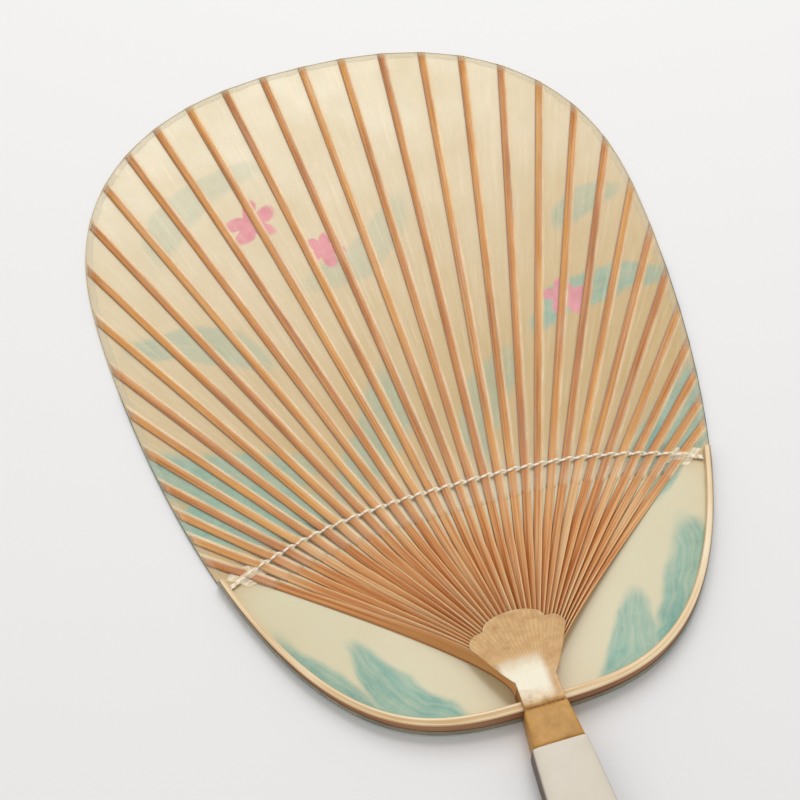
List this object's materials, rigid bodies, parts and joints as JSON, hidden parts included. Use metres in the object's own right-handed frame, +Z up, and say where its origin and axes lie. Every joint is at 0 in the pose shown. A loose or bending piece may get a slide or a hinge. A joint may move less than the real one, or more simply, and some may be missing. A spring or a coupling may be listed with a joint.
{
  "type": "round paper fan",
  "caption": "Round hand fan: split bamboo ribs twined with thread between a painted front sheet and a thin clear back sheet, with a bent bow and a flat flared handle.",
  "frame": {"origin": "middle of the underside of the whole fan, on the floor that the handle lies on", "axes": "+X across the fan to the right seen from the ribs' side, +Y from the handle to the rim, +Z up from the front sheet to the ribs"},
  "size_m": [0.2054, 0.3906, 0.0106],
  "materials": {
    "white_lacquer": "white lacquered wood, satin",
    "bamboo": "split bamboo, bare, fine lengthwise grain",
    "bow_bamboo": "bent bamboo strip, pale top edge and brown sides",
    "band_paper": "mustard paper band",
    "patch_paper": "varnished tan paper",
    "edge_paper": "pale paper strip, varnished",
    "painted_paper": "cream paper with teal and pink painting, varnished",
    "clear_paper": "thin see-through paper, varnished and glossy",
    "thread": "off-white twined thread"
  },
  "bodies": {
    "root": {"handle_grip": "white_lacquer", "neck_stock": "bamboo", "neck_band": "band_paper", "neck_patch": "patch_paper", "bow": "bow_bamboo", "bow_edging": "painted_paper", "front_sheet": "painted_paper", "back_sheet": "clear_paper", "rim_strip": "edge_paper", "thread_over": "thread", "thread_under": "thread", "ear_patch_left": "edge_paper", "ear_patch_right": "edge_paper", "rib_01": "bamboo", "rib_02": "bamboo", "rib_03": "bamboo", "rib_04": "bamboo", "rib_05": "bamboo", "rib_06": "bamboo", "rib_07": "bamboo", "rib_08": "bamboo", "rib_09": "bamboo", "rib_10": "bamboo", "rib_11": "bamboo", "rib_12": "bamboo", "rib_13": "bamboo", "rib_14": "bamboo", "rib_15": "bamboo", "rib_16": "bamboo", "rib_17": "bamboo", "rib_18": "bamboo", "rib_19": "bamboo", "rib_20": "bamboo", "rib_21": "bamboo", "rib_22": "bamboo", "rib_23": "bamboo", "rib_24": "bamboo", "rib_25": "bamboo", "rib_26": "bamboo", "rib_27": "bamboo", "rib_28": "bamboo", "rib_29": "bamboo", "rib_30": "bamboo", "rib_31": "bamboo", "rib_32": "bamboo", "rib_33": "bamboo"}
  },
  "joints": []
}
